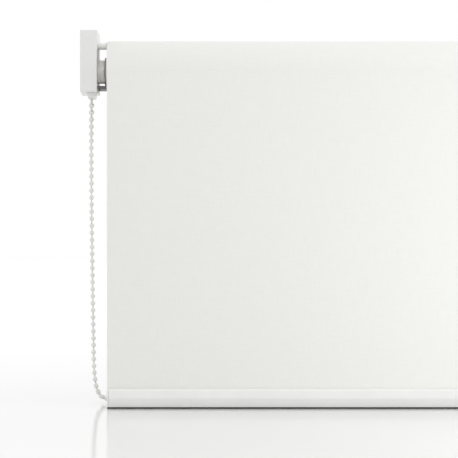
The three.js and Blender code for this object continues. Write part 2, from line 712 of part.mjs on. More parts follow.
function chain() {
  const group = new THREE.Group();
  group.add(
    piece("chain_over_wheel", chainOverWheel(), "chainPlastic"),
    piece("chain_loop", chainLoop(), "chainPlastic"),
    piece("chain_connector", chainConnector(), "chainPlastic"),
  );
  return group;
}

function rollerAndCloth() {
  const group = new THREE.Group();
  group.add(
    piece("roller_tube", rollerTube(), "aluminium"),
    piece("fabric_roll", fabricRoll(), "cloth"),
    piece("fabric_panel", fabricPanel(), "cloth"),
  );
  return group;
}

function mirrored(...meshes) {
  const group = new THREE.Group();
  group.position.x = IDLE_X;
  group.scale.x = -1;
  group.add(...meshes);
  return group;
}

function hem() {
  const group = new THREE.Group();
  group.add(
    piece("hem_bar", hemBar(), "hemPaint"),
    piece("hem_keder", hemKeder(), "cloth"),
    piece("hem_weight", hemWeight(), "steel"),
    piece("hem_seal", hemSeal(), "sealRubber"),
    piece("hem_cap_control", hemCap(), "hemPaint"),
    mirrored(piece("hem_cap_idle", hemCap(), "hemPaint")),
  );
  return group;
}

function idleEnd() {
  return mirrored(
    piece("bracket_frame_idle", bracketFrame(false), "bracketPaint"),
    piece("cover_idle", cover(false), "coverPlastic"),
    piece("idle_bush", hubWithSpigot(PIN.radius + GAP, IDLE_BUSH_END_X), "paleGreyPlastic"),
    piece("idle_plug", idlePlug(), "collarGrey"),
    piece("idle_pin", idlePin(), "steel"),
    piece("pin_spring", pinSpring(), "steel"),
    piece("idle_stop", idleStop(), "collarGrey"),
  );
}

const rollerBlind = new THREE.Group();
rollerBlind.add(controlBracket(), clutch(), chain(), rollerAndCloth(), hem(), idleEnd());

export default rollerBlind;
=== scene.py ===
import math

import bmesh
import bpy
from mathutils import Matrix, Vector


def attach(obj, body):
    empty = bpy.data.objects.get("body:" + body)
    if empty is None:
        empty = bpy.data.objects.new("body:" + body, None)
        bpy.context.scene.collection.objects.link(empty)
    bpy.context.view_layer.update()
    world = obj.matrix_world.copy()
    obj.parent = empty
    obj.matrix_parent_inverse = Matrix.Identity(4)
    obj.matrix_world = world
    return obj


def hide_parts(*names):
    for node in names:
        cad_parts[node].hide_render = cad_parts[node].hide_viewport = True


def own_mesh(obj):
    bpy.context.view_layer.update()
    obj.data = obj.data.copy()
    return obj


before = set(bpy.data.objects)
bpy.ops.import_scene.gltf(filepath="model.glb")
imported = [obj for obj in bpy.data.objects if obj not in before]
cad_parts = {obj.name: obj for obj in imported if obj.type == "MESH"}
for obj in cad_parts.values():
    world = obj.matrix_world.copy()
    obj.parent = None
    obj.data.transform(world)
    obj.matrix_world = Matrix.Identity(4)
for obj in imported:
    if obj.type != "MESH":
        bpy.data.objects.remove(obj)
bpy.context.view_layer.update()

MM = 0.001
SCENE = bpy.context.scene

# ---- sizes shared with the CAD frame, in millimetres ----
IDLE_X = 586.0
AXIS_Y = -28.0
AXIS_Z = -8.0
FLOOR_Z = -292.0
COVER = {"width": 14.0, "depth": 48.0, "height": 52.0, "wall": 1.3, "flare": 1.6}
TUBE_RADIUS = 12.5
TUBE_START_X = 15.0
COLLAR = {"x0": 13.1, "x1": 14.7, "radius": 12.1}
PLUG_RADIUS = 11.0
PLUG_BORE = 8.8
ROLL_RADIUS = 26.3
ROLL_START_X = 15.4
PANEL_START_X = 15.9
HEM_HEIGHT = 16.6
HEM_DEPTH = 13.6
HEM_FOOT = 3.0
# height of the near-black strip under the hem bar, whose colour is painted contact shadow
SHADOW_STRIP_HEIGHT = 1.25
HEM_CAP = 1.6
KEDER_Z = 12.2
CLOTH = 0.5
LAYER = 0.75
KEDER_GROOVE = 2.1
HUB_FLATS = 19.0
HUB_START_X = 5.2
HUB_END_X = 12.8
IDLE_BUSH_END_X = 9.3
SHELF_FRONT_Y = -37.0
SHELF_END_X = 14.9
SLIDE_LOW_Z = -22.3
SLIDE_HIGH_Z = -20.4
HEM_Y = AXIS_Y - ROLL_RADIUS + LAYER / 2
BEAD = 4.0
BEAD_PITCH = 6.0
WHEEL_RADIUS = 8 * BEAD_PITCH / (2 * math.pi)
CHAIN_X = 1.5


# ---- camera ----
def camera():
    data = bpy.data.cameras.new("camera")
    data.sensor_width = 36.0
    data.lens = 131.5
    data.shift_x = 0.0699
    data.clip_start = 0.05
    data.clip_end = 50.0
    obj = bpy.data.objects.new("camera", data)
    obj.location = (91.3 * MM, -1454.3 * MM, -141.7 * MM)
    obj.rotation_euler = (math.radians(90), 0, 0)
    SCENE.collection.objects.link(obj)
    SCENE.camera = obj


# ---- mesh tools ----
def new_object(name, bm, material=None, sharp=35):
    mesh = bpy.data.meshes.new(name)
    bm.normal_update()
    bm.to_mesh(mesh)
    bm.free()
    mesh.polygons.foreach_set("use_smooth", [True] * len(mesh.polygons))
    mesh.set_sharp_from_angle(angle=math.radians(sharp))
    obj = bpy.data.objects.new(name, mesh)
    SCENE.collection.objects.link(obj)
    if material:
        mesh.materials.append(material)
    return obj


def filleted(corners, radius, steps=3):
    """The closed outline through corners, each one rounded. A corner is (a, b) or (a, b, its own radius)."""
    out = []
    count = len(corners)
    for i in range(count):
        here = Vector(corners[i][:2])
        before = Vector(corners[i - 1][:2]) - here
        after = Vector(corners[(i + 1) % count][:2]) - here
        own = corners[i][2] if len(corners[i]) > 2 else radius
        angle = before.angle(after, 0)
        if own <= 0 or angle > math.radians(176):
            out.append(tuple(here))
            continue
        reach = own / math.tan(angle / 2)
        limit = 0.48 * min(before.length, after.length)
        reach = min(reach, limit)
        arc = reach * math.tan(angle / 2)
        bisector = (before.normalized() + after.normalized()).normalized()
        centre = here + bisector * (arc / math.sin(angle / 2))
        start = here + before.normalized() * reach - centre
        end = here + after.normalized() * reach - centre
        turn = start.angle_signed(end, 0)
        for k in range(steps + 1):
            a = -turn * k / steps
            c, s = math.cos(a), math.sin(a)
            out.append((centre.x + c * start.x - s * start.y, centre.y + s * start.x + c * start.y))
    return out


def lathe(name, corners, material, fillet=0.2, y=AXIS_Y, z=AXIS_Z, sides=96, steps=3):
    """A turned piece: (x, radius) corners of half its section, in millimetres."""
    ring = filleted(corners, fillet, steps)
    bm = bmesh.new()
    rows = []
    for x, r in ring:
        rows.append([
            bm.verts.new((
                x * MM,
                (y + r * math.cos(2 * math.pi * k / sides)) * MM,
                (z + r * math.sin(2 * math.pi * k / sides)) * MM,
            ))
            for k in range(sides)
        ])
    for a, b in zip(rows, rows[1:] + rows[:1]):
        for k in range(sides):
            n = (k + 1) % sides
            bm.faces.new((a[k], a[n], b[n], b[k]))
    bmesh.ops.recalc_face_normals(bm, faces=bm.faces)
    return new_object(name, bm, material)


def prism(name, outline, x0, x1, material, edge=0.3, steps=2, sharp=35):
    """An outline in (y, z), extruded along X, in millimetres, with its two end edges rounded."""
    stations = [(x0 + edge - edge * math.cos(t), edge - edge * math.sin(t))
                for t in [math.pi / 2 * k / steps for k in range(steps + 1)]]
    stations += [(x1 - edge + edge * math.sin(t), edge - edge * math.cos(t))
                 for t in [math.pi / 2 * k / steps for k in range(steps + 1)]]
    bm = bmesh.new()
    rows = []
    count = len(outline)
    points = [Vector(p) for p in outline]
    area = sum(points[i - 1].cross(points[i]) for i in range(count))
    side = 1 if area > 0 else -1
    normals = []
    for i in range(count):
        a = (points[i] - points[i - 1])
        b = (points[(i + 1) % count] - points[i])
        na = Vector((-a.y, a.x)).normalized() * side
        nb = Vector((-b.y, b.x)).normalized() * side
        mid = na + nb
        scale = 1 / max(0.3, (1 + na.dot(nb)))
        normals.append(mid * scale)
    for x, inset in stations:
        rows.append([bm.verts.new((x * MM, (p.x + n.x * inset) * MM, (p.y + n.y * inset) * MM))
                     for p, n in zip(points, normals)])
    for a, b in zip(rows, rows[1:]):
        for k in range(count):
            n = (k + 1) % count
            bm.faces.new((a[k], a[n], b[n], b[k]))
    bm.faces.new(rows[0])
    bm.faces.new(list(reversed(rows[-1])))
    bmesh.ops.recalc_face_normals(bm, faces=bm.faces)
    return new_object(name, bm, material, sharp)


# ---- material tools ----
class Nodes:
    """A material's node tree, written as calls."""

    def __init__(self, name, color, roughness, metallic=0.0, **sockets):
        self.material = bpy.data.materials.new(name)
        self.material.use_nodes = True
        self.tree = self.material.node_tree
        self.shader = self.tree.nodes["Principled BSDF"]
        self.shader.inputs["Base Color"].default_value = (*color, 1)
        self.shader.inputs["Roughness"].default_value = roughness
        self.shader.inputs["Metallic"].default_value = metallic
        for key, value in sockets.items():
            self.shader.inputs[key.replace("_", " ")].default_value = value
        self.color = color

    def node(self, kind, inputs=None, **attributes):
        node = self.tree.nodes.new("ShaderNode" + kind)
        for key, value in attributes.items():
            setattr(node, key, value)
        for key, value in (inputs or {}).items():
            if isinstance(value, bpy.types.NodeSocket):
                self.tree.links.new(value, node.inputs[key])
            else:
                node.inputs[key].default_value = value
        return node

    def math(self, operation, a, b=0.0):
        return self.node("Math", {0: a, 1: b}, operation=operation).outputs[0]

    def place(self, scale=(1, 1, 1)):
        coordinates = self.node("TexCoord").outputs["Object"]
        return self.node("Mapping", {"Vector": coordinates, "Scale": scale}).outputs["Vector"]

    def noise(self, vector, scale, detail=2.0, rough=0.5):
        inputs = {"Vector": vector, "Scale": scale, "Detail": detail, "Roughness": rough}
        return self.node("TexNoise", inputs).outputs["Fac"]

    def spread(self, value, low, high):
        """Maps noise, which is mostly 0.3 to 0.7, to low..high."""
        inputs = {"Value": value, "From Min": 0.3, "From Max": 0.7, "To Min": low, "To Max": high}
        return self.node("MapRange", inputs).outputs["Result"]

    def tint(self, factor, low=0.97, high=1.03):
        """The base colour, made a little darker and lighter by factor."""
        shade = self.spread(factor, low, high)
        scaled = self.node("VectorMath", {0: self.color, 3: shade}, operation="SCALE")
        self.tree.links.new(scaled.outputs[0], self.shader.inputs["Base Color"])

    def roughen(self, factor, low, high):
        self.tree.links.new(self.spread(factor, low, high), self.shader.inputs["Roughness"])

    def bump(self, height, distance, strength=1.0):
        inputs = {"Height": height, "Distance": distance, "Strength": strength}
        normal = self.node("Bump", inputs).outputs["Normal"]
        self.tree.links.new(normal, self.shader.inputs["Normal"])


def moulded(name, color, roughness, grain=0.00002):
    """Moulded plastic: a fine spark-eroded grain, and slow changes of gloss and colour."""
    m = Nodes(name, color, roughness)
    place = m.place()
    m.bump(m.noise(place, 1800, 3), grain)
    m.roughen(m.noise(place, 90, 3), roughness - 0.05, roughness + 0.06)
    m.tint(m.noise(place, 45, 2), 0.985, 1.015)
    return m.material


def powder_coat(name, color, roughness):
    """Powder coat: soft orange peel over a fine speckle."""
    m = Nodes(name, color, roughness, Coat_Weight=0.15, Coat_Roughness=0.3)
    place = m.place()
    peel = m.math("ADD", m.noise(place, 420, 2), m.math("MULTIPLY", m.noise(place, 2200, 1), 0.25))
    m.bump(peel, 0.00005)
    m.roughen(m.noise(place, 150, 2), roughness - 0.05, roughness + 0.05)
    m.tint(m.noise(place, 60, 2), 0.985, 1.015)
    return m.material


def brushed(name, color, roughness, stretch=(1, 40, 40), scale=60):
    """Drawn or turned metal: fine lines along the direction that stretch leaves long."""
    m = Nodes(name, color, roughness, 1.0)
    lines = m.noise(m.place(stretch), scale, 4, 0.65)
    m.bump(lines, 0.00002)
    m.roughen(lines, roughness - 0.08, roughness + 0.12)
    m.tint(m.noise(m.place(), 70, 3), 0.93, 1.07)
    return m.material


THREAD = 0.00055


def weave(name, color):
    """Coated plain weave, drawn on UVs in metres: along the roller, and along the cloth's length."""
    m = Nodes(name, color, 0.82, Sheen_Weight=0.12, Sheen_Roughness=0.5)
    uv = m.node("TexCoord").outputs["UV"]
    wander = m.noise(m.node("Mapping", {"Vector": uv, "Scale": (1, 1, 1)}).outputs["Vector"], 260, 2)
    split = m.node("SeparateXYZ", {"Vector": uv})
    shift = m.math("MULTIPLY", m.math("SUBTRACT", wander, 0.5), THREAD * 0.35)
    across = m.math("ADD", split.outputs["X"], shift)
    along = m.math("ADD", split.outputs["Y"], shift)
    sines = [m.math("SINE", m.math("MULTIPLY", value, math.pi / THREAD)) for value in (across, along)]
    crossing = m.math("MULTIPLY", sines[0], sines[1])
    warp_slub = m.noise(m.node("Mapping", {"Vector": uv, "Scale": (1, 0.05, 1)}).outputs["Vector"], 1500, 2)
    weft_slub = m.noise(m.node("Mapping", {"Vector": uv, "Scale": (0.05, 1, 1)}).outputs["Vector"], 1500, 2)
    slubs = m.math("ADD", warp_slub, weft_slub)
    height = m.math("ADD", m.math("MULTIPLY", crossing, 0.35), slubs)
    m.bump(height, 0.00007, 0.8)
    m.tint(m.math("MULTIPLY", slubs, 0.5), 0.975, 1.025)
    m.roughen(m.math("MULTIPLY", slubs, 0.5), 0.76, 0.88)
    return m.material


def twisted_thread(name, color):
    m = Nodes(name, color, 0.7, Sheen_Weight=0.2)
    fibres = m.noise(m.place((1, 1, 3)), 2600, 3)
    m.bump(fibres, 0.00008)
    m.tint(fibres, 0.92, 1.06)
    return m.material


LOOK = {
    "cover": moulded("cover_plastic", (0.80, 0.80, 0.79), 0.36),
    "bracket": powder_coat("bracket_paint", (0.84, 0.84, 0.83), 0.42),
    "pale": moulded("pale_grey_plastic", (0.88, 0.865, 0.83), 0.5),
    "collar": moulded("collar_grey", (0.36, 0.355, 0.31), 0.5),
    "slide": moulded("slide_grey", (0.17, 0.17, 0.165), 0.5),
    "bead": moulded("chain_plastic", (0.81, 0.81, 0.79), 0.3, 0.00001),
    "thread": twisted_thread("chain_thread", (0.78, 0.78, 0.75)),
    "cloth": weave("cloth", (0.886, 0.888, 0.86)),
    "hem": powder_coat("hem_paint", (0.89, 0.89, 0.875), 0.4),
    "cap": moulded("hem_plastic", (0.86, 0.86, 0.84), 0.42),
    # near-black colour for the strip under the hem bar: painted contact shadow
    "seal": moulded("seal_rubber", (0.022, 0.022, 0.022), 0.75, 0.00004),
    "aluminium": brushed("aluminium", (0.62, 0.62, 0.61), 0.34),
    "steel": brushed("steel", (0.48, 0.49, 0.50), 0.34, (6, 6, 6), 240),
}


# ---- chain ----
# the loop's centre line in millimetres: down from the nozzle, along the floor behind the hem bar, and back up
CHAIN_ROUTE = [
    (1.5, -35.6, -31.2), (1.5, -35.6, -50), (1.6, -35.2, -90), (2, -33.5, -140), (2.6, -30.8, -190),
    (3.1, -27.2, -235), (3.5, -24, -262), (4.4, -20, -273.8), (6, -17, -280.6), (9.3, -13.5, -286.3),
    (14, -11.2, -288.2), (22, -11.4, -289.6), (40, -16, -289.9), (65, -24, -289.9), (100, -29.5, -289.9),
    (150, -31.4, -289.9), (190, -31, -289.9), (199.6, -27, -289.9), (203.6, -17.4, -289.9),
    (199.6, -7.8, -289.9), (190, -3.8, -289.9), (168, -3.6, -289.6), (150, -3.8, -288.4),
    (136, -3.8, -288.4), (120, -3.6, -289.4), (100, -3.4, -289.9), (60, -3.4, -289.9), (30, -3.4, -289.9),
    (18, -3.6, -289.6), (11.6, -4.4, -288.2), (7.6, -5.9, -285.5), (5.2, -7.6, -280.9), (3.7, -9.2, -274.6),
    (2.5, -11.2, -262.9), (2, -13.4, -235.6), (1.4, -16, -190), (1, -18.4, -141), (0.8, -20, -91),
    (1, -20.4, -55), (1.5, -20.4, -31.2),
]


def smooth_curve(places, per_span=40):
    """A centripetal Catmull-Rom curve through places."""
    p = [Vector(place) for place in places]
    p = [2 * p[0] - p[1], *p, 2 * p[-1] - p[-2]]
    out = []
    for i in range(1, len(p) - 2):
        a, b, c, d = p[i - 1:i + 3]
        t0 = 0.0
        t1 = t0 + math.sqrt((b - a).length)
        t2 = t1 + math.sqrt((c - b).length)
        t3 = t2 + math.sqrt((d - c).length)
        for k in range(per_span):
            t = t1 + (t2 - t1) * k / per_span
            a1 = a.lerp(b, (t - t0) / (t1 - t0))
            a2 = b.lerp(c, (t - t1) / (t2 - t1))
            a3 = c.lerp(d, (t - t2) / (t3 - t2))
            b1 = a1.lerp(a2, (t - t0) / (t2 - t0))
            b2 = a2.lerp(a3, (t - t1) / (t3 - t1))
            out.append(b1.lerp(b2, (t - t1) / (t2 - t1)))
    out.append(p[-2])
    return out


class Line:
    """A polyline that can be asked for the place and direction at a length along it."""

    def __init__(self, points):
        self.points = points
        self.at = [0.0]
        for a, b in zip(points, points[1:]):
            self.at.append(self.at[-1] + (b - a).length)
        self.length = self.at[-1]

    def place(self, s):
        s = min(max(s, 0.0), self.length)
        low, high = 0, len(self.at) - 1
        while high - low > 1:
            middle = (low + high) // 2
            if self.at[middle] <= s:
                low = middle
            else:
                high = middle
        part = (s - self.at[low]) / max(self.at[high] - self.at[low], 1e-9)
        return self.points[low].lerp(self.points[high], part)

    def direction(self, s):
        return (self.place(s + 0.4) - self.place(s - 0.4)).normalized()


def add_sweep(bm, line, s0, s1, step, radius_of, sides, material_index, twist=0.0):
    """A closed tube of changing radius along the line from s0 to s1."""
    count = max(2, round((s1 - s0) / step))
    normal = None
    rows = []
    for i in range(count + 1):
        s = s0 + (s1 - s0) * i / count
        direction = line.direction(s)
        if normal is None:
            normal = direction.orthogonal().normalized()
        normal = (normal - direction * normal.dot(direction)).normalized()
        other = direction.cross(normal)
        centre = line.place(s)
        row = []
        for k in range(sides):
            angle = 2 * math.pi * k / sides
            radius = radius_of(s, angle + twist * s)
            spot = centre + (normal * math.cos(angle) + other * math.sin(angle)) * radius
            row.append(bm.verts.new(spot * MM))
        rows.append(row)
    faces = []
    for a, b in zip(rows, rows[1:]):
        for k in range(sides):
            n = (k + 1) % sides
            faces.append(bm.faces.new((a[k], a[n], b[n], b[k])))
    faces.append(bm.faces.new(list(reversed(rows[0]))))
    faces.append(bm.faces.new(rows[-1]))
    for face in faces:
        face.material_index = material_index


def add_bead(bm, line, s, sides=18, rings=10):
    """A moulded bead: a ball with a short collar at each end where the thread goes in."""
    collar = 0.75
    half = BEAD / 2 * 0.98
    profile = [(-half - 0.12, 0.35), (-half - 0.12, collar)]
    for i in range(1, rings):
        angle = math.pi * i / rings
        radius = BEAD / 2 * math.sin(angle)
        if radius > collar * 1.08:
            profile.append((-half * math.cos(angle), radius))
    profile += [(half + 0.12, collar), (half + 0.12, 0.35)]
    direction = line.direction(s)
    normal = direction.orthogonal().normalized()
    other = direction.cross(normal)
    centre = line.place(s)
    rows = []
    for along, radius in profile:
        rows.append([
            bm.verts.new((centre + direction * along + (
                normal * math.cos(2 * math.pi * k / sides) + other * math.sin(2 * math.pi * k / sides)
            ) * radius) * MM)
            for k in range(sides)
        ])
    for a, b in zip(rows, rows[1:]):
        for k in range(sides):
            n = (k + 1) % sides
            bm.faces.new((a[k], a[n], b[n], b[k]))
    bm.faces.new(list(reversed(rows[0])))
    bm.faces.new(rows[-1])


THREAD_RADIUS = 0.55


def chain_mesh(name, line, beads):
    bm = bmesh.new()
    for s in beads:
        add_bead(bm, line, s)

    def strand(s, angle):
        return THREAD_RADIUS * (1 + 0.12 * math.cos(3 * angle))

    add_sweep(bm, line, 0, line.length, 1.0, strand, 10, 1, twist=2.2)
    bmesh.ops.recalc_face_normals(bm, faces=bm.faces)
    obj = new_object(name, bm, LOOK["bead"], sharp=60)
    obj.data.materials.append(LOOK["thread"])
    return obj


CONNECTOR = {"x": 143.0, "y": -3.8, "z": -288.4, "half": 5.5, "bore": 2.55, "waist": 3.25, "radius": 3.5}
REAR_PITCH = 6.06
LEVEL_Z = -157.0  # each strand has a bead at this height


def beads_between(start, end, phase, pitch=BEAD_PITCH):
    """Places along a line, a bead pitch apart, from start to end, with one of them at phase."""
    first = phase - pitch * math.floor((phase - start) / pitch)
    return [first + pitch * i for i in range(int((end - first) / pitch) + 1)]


def chain():
    line = Line(smooth_curve(CHAIN_ROUTE))
    on_floor = [i for i, p in enumerate(line.points) if abs(p.x - CONNECTOR["x"]) < 0.6 and p.y > -10]
    connector_at = line.at[on_floor[len(on_floor) // 2]]
    low = [i for i, p in enumerate(line.points) if p.z < LEVEL_Z]
    front_phase = line.at[low[0]] - (LEVEL_Z - line.points[low[0]].z)
    rear_phase = line.at[low[-1]] + (LEVEL_Z - line.points[low[-1]].z)
    beads = beads_between(1.5, connector_at - 4, front_phase)
    beads += beads_between(connector_at + 4, line.length - 1.5, rear_phase, REAR_PITCH)
    loop = chain_mesh("bead_chain", line, beads)
    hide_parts("chain_loop")
    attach(loop, "root")
    half, bore, waist, radius = (CONNECTOR[key] for key in ("half", "bore", "waist", "radius"))
    left = [(-half, bore), (-half, 2.9), (1.2 - half, radius), (-0.35, radius), (-0.3, waist)]
    right = [(-x, r) for x, r in reversed(left)]
    shell = [(CONNECTOR["x"] + x, r) for x, r in left + right]
    connector = lathe("chain_snap_connector", shell, LOOK["bead"], 0.12, CONNECTOR["y"], CONNECTOR["z"], 40)
    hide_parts("chain_connector")
    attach(connector, "root")
    path = [tuple(line.place(line.length * i / 240) * MM) for i in range(241)]


def chain_over_wheel():
    radius = WHEEL_RADIUS
    bottom = -30.6
    points = [Vector((CHAIN_X, AXIS_Y - radius, bottom + (AXIS_Z - bottom) * i / 40)) for i in range(40)]
    for i in range(61):
        angle = math.pi * (1 - i / 60)
        points.append(Vector((CHAIN_X, AXIS_Y + radius * math.cos(angle), AXIS_Z + radius * math.sin(angle))))
    points += [Vector((CHAIN_X, AXIS_Y + radius, AXIS_Z + (bottom - AXIS_Z) * i / 40))
               for i in range(1, 41)]
    line = Line(points)
    beads = beads_between(3, line.length - 3, line.length / 2)
    piece = chain_mesh("chain_on_wheel", line, beads)
    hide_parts("chain_over_wheel")
    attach(piece, "root")


# ---- carried-over CAD nodes ----
def refine(node, material, width=0.25):
    """A CAD node kept as it is, with its flat facets merged, its edges rounded and a better material."""
    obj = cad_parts[node]
    obj.data.polygons.foreach_set("use_smooth", [True] * len(obj.data.polygons))
    obj.data.set_sharp_from_angle(angle=math.radians(35))
    merge = obj.modifiers.new("merge", "DECIMATE")
    merge.decimate_type = "DISSOLVE"
    merge.angle_limit = math.radians(1)
    edges = obj.modifiers.new("edges", "BEVEL")
    edges.width = width * MM
    edges.segments = 2
    edges.limit_method = "ANGLE"
    edges.angle_limit = math.radians(40)
    obj.data.materials.clear()
    obj.data.materials.append(material)
    return obj


def stand_in(obj, node, body, has_flats=True):
    """A new piece in place of one CAD node. has_flats keeps the shading of its flat faces flat."""
    if has_flats:
        shading = obj.modifiers.new("shading", "WEIGHTED_NORMAL")
        shading.keep_sharp = True
    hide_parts(node)
    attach(obj, body)
    return obj


def apply_modifiers(obj):
    graph = bpy.context.evaluated_depsgraph_get()
    mesh = bpy.data.meshes.new_from_object(obj.evaluated_get(graph))
    obj.modifiers.clear()
    old = obj.data
    obj.data = mesh
    bpy.data.meshes.remove(old)


def carve(obj, *tools):
    """Cuts the tools out of obj and removes them."""
    for i, tool in enumerate(tools):
        cutter = obj.modifiers.new(f"cut{i}", "BOOLEAN")
        cutter.operation = "DIFFERENCE"
        cutter.solver = "EXACT"
        cutter.object = tool
    apply_modifiers(obj)
    for tool in tools:
        bpy.data.objects.remove(tool)


def slab(bm, low, high, radius, segments=2):
    """Adds a box with rounded edges, in millimetres."""
    made = bmesh.ops.create_cube(bm, size=1)
    verts = made["verts"]
    middle = [(a + b) / 2 for a, b in zip(low, high)]
    size = [b - a for a, b in zip(low, high)]
    for v in verts:
        v.co = Vector([(m + s * c) * MM for m, s, c in zip(middle, size, v.co)])
    edges = list({e for v in verts for e in v.link_edges})
    bmesh.ops.bevel(bm, geom=edges, offset=radius * MM, segments=segments, profile=0.5, affect="EDGES")


def flip_x(obj):
    """Mirrors a piece drawn for the control end to the idle end."""
    for v in obj.data.vertices:
        v.co.x = IDLE_X * MM - v.co.x
    obj.data.flip_normals()
    return obj


# ---- brackets ----
def cover_path(inset, steps=5):
    """The cover's outline in (y, z), open towards the wall, moved inwards by inset."""
    corner = max(1.6 - inset, 0.3)
    front = -COVER["depth"] + inset + corner
    high = COVER["height"] / 2 - inset
    path = [(0, high), (front * 0.5, high)]
    for k in range(steps + 1):
        angle = math.pi / 2 * (1 + k / steps)
        path.append((front + corner * math.cos(angle), high - corner + corner * math.sin(angle)))
    for k in range(steps + 1):
        angle = math.pi * (1 + 0.5 * k / steps)
        path.append((front + corner * math.cos(angle), corner - high + corner * math.sin(angle)))
    path += [(front * 0.5, -high), (0, -high)]
    return path


def cover(name):
    half, wall = COVER["width"] / 2, COVER["wall"]
    edge, lip = 0.9, 0.2
    brim = wall + 0.28
    rows = []
    for k in range(5):
        angle = math.pi / 2 * k / 4
        rows.append((-half + edge * (1 - math.cos(angle)), edge * (1 - math.sin(angle))))
    rows += [(0, 0), (half - lip, 0), (half - lip * 0.3, lip * 0.3), (half, lip), (half, brim - 0.08)]
    rows += [(half - 0.08, brim), (half - 1.5, brim), (half - 1.7, wall), (wall - half + 0.5, wall)]
    rows += [(wall - half + 0.15, wall + 0.15), (wall - half, wall + 0.5)]
    bm = bmesh.new()
    loops = []
    for x, inset in rows:
        lean = COVER["flare"] if x < 0 else 0
        loops.append([bm.verts.new(((x - lean * (1 + y / COVER["depth"])) * MM, y * MM, z * MM))
                      for y, z in cover_path(inset)])
    for a, b in zip(loops, loops[1:]):
        for k in range(len(a) - 1):
            bm.faces.new((a[k], a[k + 1], b[k + 1], b[k]))
    bm.faces.new(loops[0])
    bm.faces.new(loops[-1])
    bm.faces.new([a[0] for a in loops] + [a[-1] for a in reversed(loops)])
    bmesh.ops.recalc_face_normals(bm, faces=bm.faces)
    return new_object(name, bm, LOOK["cover"], 32)


GUIDE = {"x0": -2.0, "x1": 5.8, "reach": WHEEL_RADIUS}
GUIDE_LEVELS = ((-24.2, 0), (-26.2, 0), (-26.3, 0.12), (-30.2, 0.85), (-30.7, 0.98), (-30.9, 1.25))


def chain_guide():
    """A nozzle that narrows downwards, with a hole for each strand."""
    x0, x1 = GUIDE["x0"], GUIDE["x1"]
    y0, y1 = AXIS_Y - GUIDE["reach"] - 3.55, AXIS_Y + GUIDE["reach"] + 3.55
    bm = bmesh.new()
    loops = []
    for z, inset in GUIDE_LEVELS:
        low_x, high_x, low_y, high_y = x0 + inset, x1 - inset, y0 + inset, y1 - inset
        corners = [(low_x, low_y), (high_x, low_y), (high_x, high_y), (low_x, high_y)]
        loops.append([bm.verts.new((x * MM, y * MM, z * MM)) for x, y in filleted(corners, 1.2, 5)])
    for a, b in zip(loops, loops[1:]):
        for k in range(len(a)):
            n = (k + 1) % len(a)
            bm.faces.new((a[k], a[n], b[n], b[k]))
    bm.faces.new(loops[0])
    bm.faces.new(loops[-1])
    bmesh.ops.recalc_face_normals(bm, faces=bm.faces)
    obj = new_object("chain_guide_nozzle", bm, LOOK["cover"], 30)
    tools = [upright(2.2, -32, -20, CHAIN_X, AXIS_Y + side * GUIDE["reach"]) for side in (-1, 1)]
    carve(obj, *tools)
    stand_in(obj, "chain_guide", "root")


def upright(radius, z0, z1, x, y, sides=48):
    """A vertical round tool for carve()."""
    bm = bmesh.new()
    rows = [[bm.verts.new(((x + radius * math.cos(2 * math.pi * k / sides)) * MM,
                           (y + radius * math.sin(2 * math.pi * k / sides)) * MM, z * MM))
             for k in range(sides)] for z in (z0, z1)]
    for k in range(sides):
        n = (k + 1) % sides
        bm.faces.new((rows[0][k], rows[0][n], rows[1][n], rows[1][k]))
    bm.faces.new(list(reversed(rows[0])))
    bm.faces.new(rows[1])
    return new_object("tool", bm)


def across(radius, x0, x1, sides=64):
    """A round tool along the roller axis, for carve()."""
    outline = [(AXIS_Y + radius * math.cos(2 * math.pi * k / sides),
                AXIS_Z + radius * math.sin(2 * math.pi * k / sides)) for k in range(sides)]
    return prism("tool", outline, x0, x1, None, 0.001, 1)


def hex_hub(name, bore, end_x):
    """A six-sided hub against the bracket web, with a flat at the top and bottom and a bore through it."""
    corner_radius = HUB_FLATS / math.sqrt(3)
    corners = [(corner_radius * math.cos(math.pi / 3 * k), corner_radius * math.sin(math.pi / 3 * k))
               for k in range(6)]
    outline = [(AXIS_Y + y, AXIS_Z + z) for y, z in filleted(corners, 0.6, 4)]
    hub = prism(name, outline, HUB_START_X, end_x, LOOK["pale"], 0.4, 4, 28)
    carve(hub, across(bore, 0, end_x + 2))
    return hub


def brackets():
    control = cover("control_cover_shell")
    bm = bmesh.new()
    y0, y1 = AXIS_Y - GUIDE["reach"] - 3.95, AXIS_Y + GUIDE["reach"] + 3.7
    slab(bm, (GUIDE["x0"] - 0.15, y0, -30), (GUIDE["x1"] + 0.15, y1, -20), 0.9)
    carve(control, new_object("tool", bm))
    stand_in(control, "cover_control", "root")
    stand_in(flip_x(cover("idle_cover_shell")), "cover_idle", "root")
    refine("bracket_frame_control", LOOK["bracket"], 0.3)
    refine("bracket_frame_idle", LOOK["bracket"], 0.3)
    stand_in(hex_hub("hub_sleeve_moulded", 5.3, HUB_END_X), "hub_sleeve", "root")
    bush = flip_x(hex_hub("idle_bush_moulded", 3.3, IDLE_BUSH_END_X))
    stand_in(bush, "idle_bush", "root")


def lock_slide():
    """A bar with finger ribs under its front end, and a neck and a head where it goes through the web."""
    low, high = SLIDE_LOW_Z, SLIDE_HIGH_Z
    neck_front, neck_back, head_rise = -30.3, -8.3, 0.7
    ribs, rib_pitch = 7, 1.3
    bm = bmesh.new()
    slab(bm, (7.08, SHELF_FRONT_Y, low), (SHELF_END_X, -2, high), 0.3)
    slab(bm, (4.6, neck_front, low), (8.3, neck_back, high), 0.2)
    slab(bm, (4.0, neck_front, low - head_rise), (5.1, neck_back, high + head_rise), 0.2)
    for i in range(ribs):
        y = SHELF_FRONT_Y + 1.4 + rib_pitch * i
        slab(bm, (8.4, y - 0.3, low - 0.25), (13.8, y + 0.3, low + 0.4), 0.12)
    slide = new_object("lock_slide_bar", bm, LOOK["slide"], 30)
    stand_in(slide, "lock_slide", "lock_slide")


